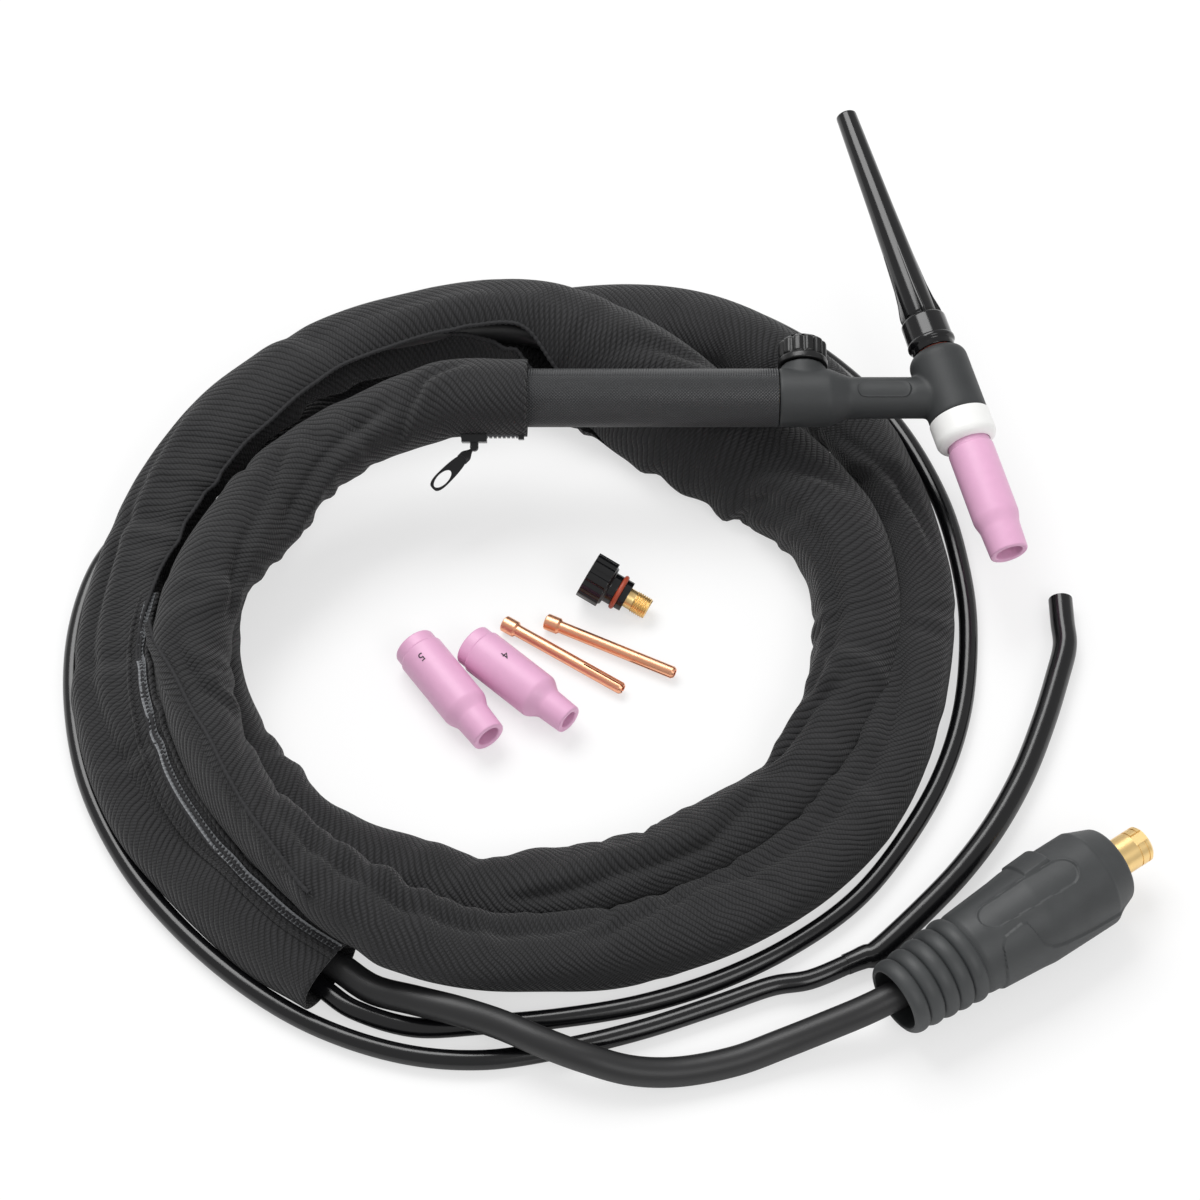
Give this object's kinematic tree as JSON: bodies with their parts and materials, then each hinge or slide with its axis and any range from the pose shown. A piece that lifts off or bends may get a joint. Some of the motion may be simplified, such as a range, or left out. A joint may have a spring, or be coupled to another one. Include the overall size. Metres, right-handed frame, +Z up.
{
  "type": "tig torch",
  "caption": "Hand-held TIG welding torch with long back cap, gas valve, zipped fabric sleeve over power cable and gas hose, bayonet plug, spare nozzles, collets and short cap.",
  "frame": {"origin": "on the ground, in the middle of the torch, the coiled sleeve and the spare parts, without the free cable, the free hose and what is on them", "axes": "+Z up from the ground; +X along the handle towards the torch head; +Y away from the viewer of the picture"},
  "size_m": [0.3756, 0.3713, 0.0693],
  "materials": {
    "black_rubber": "matt moulded rubber",
    "black_handle": "fine diamond knurl",
    "black_phenolic": "glossy moulded phenolic",
    "brass": "turned brass",
    "copper": "turned copper",
    "white_ptfe": "smooth PTFE",
    "pink_alumina": "fired ceramic, satin",
    "red_silicone": "smooth silicone rubber",
    "steel": "plated steel",
    "cable_rubber": "matt rubber jacket",
    "hose_black": "glossy PVC",
    "black_fabric": "twill weave",
    "zip_plastic": "moulded nylon coil",
    "zip_metal": "black enamel"
  },
  "bodies": {
    "torch": {"head_cover": "black_rubber", "head_core": "brass", "neck_tube": "copper", "valve_body": "brass", "handle": "black_handle", "torch_fitting": "brass", "collet_body": "brass", "collet": "copper", "cable_lug": "copper", "cable_conductor": "copper", "hose_barb": "brass", "hose_clamp": "steel", "power_cable_run": "cable_rubber", "power_cable_tail": "cable_rubber", "gas_hose_run": "hose_black", "gas_hose_tail": "hose_black", "hose_end": "hose_black", "sleeve": "black_fabric", "zip_teeth": "zip_plastic", "zip_stop": "zip_metal", "plug_boot": "black_rubber", "plug_pin": "brass", "plug_screws": "steel", "plug_ferrule": "copper", "spare_nozzle_5": "pink_alumina", "spare_nozzle_4": "pink_alumina", "spare_collet_left": "copper", "spare_collet_right": "copper", "short_cap_knob": "black_phenolic", "short_cap_o_ring": "red_silicone", "short_cap_insert": "brass"},
    "cap_seal": {"back_cap_o_ring": "red_silicone"},
    "cap": {"back_cap": "black_phenolic", "back_cap_insert": "brass"},
    "shield": {"cup_gasket": "white_ptfe"},
    "nozzle": {"nozzle": "pink_alumina"},
    "valve_seal": {"valve_o_ring": "red_silicone"},
    "valve": {"valve_knob": "black_phenolic", "valve_stem": "brass"},
    "zip_slider": {"zip_slider": "zip_metal"},
    "zip_pull": {"zip_pull": "zip_metal"}
  },
  "joints": [
    {"name": "cap_lift", "type": "slide", "parent": "torch", "child": "cap_seal", "axis": [-0.2756, 0.9467, 0.1669], "range_m": [0, 0.0051]},
    {"name": "cap_turn", "type": "hinge", "parent": "cap_seal", "child": "cap", "pos_m": [0.142, 0.054, 0.045], "axis": [-0.2756, 0.9467, 0.1669], "range_deg": [0, 2250]},
    {"name": "nozzle_lift", "type": "slide", "parent": "torch", "child": "shield", "axis": [0.2756, -0.9467, -0.1669], "range_m": [0, 0.008]},
    {"name": "nozzle_turn", "type": "hinge", "parent": "shield", "child": "nozzle", "pos_m": [0.142, 0.054, 0.045], "axis": [0.2756, -0.9467, -0.1669], "range_deg": [0, 3000]},
    {"name": "valve_lift", "type": "slide", "parent": "torch", "child": "valve_seal", "axis": [0, 0.9848, 0.1736], "range_m": [0, 0.00075]},
    {"name": "valve_turn", "type": "hinge", "parent": "valve_seal", "child": "valve", "pos_m": [0.089, 0.054, 0.045], "axis": [0, 0.9848, 0.1736], "range_deg": [0, 580]},
    {"name": "zip_slide", "type": "slide", "parent": "torch", "child": "zip_slider", "axis": [1, 0, 0], "range_m": [0, 0.011]},
    {"name": "pull_swing", "type": "hinge", "parent": "zip_slider", "child": "zip_pull", "pos_m": [-0.029, 0.03831, 0.03642], "axis": [0, -0.5461, 0.8377], "range_deg": [-35, 125]}
  ],
  "couplings": [
    {"joint": "cap_turn", "follows": "cap_lift", "rad_per_m": 7392},
    {"joint": "nozzle_turn", "follows": "nozzle_lift", "rad_per_m": 6283.2},
    {"joint": "valve_turn", "follows": "valve_lift", "rad_per_m": 12566}
  ]
}
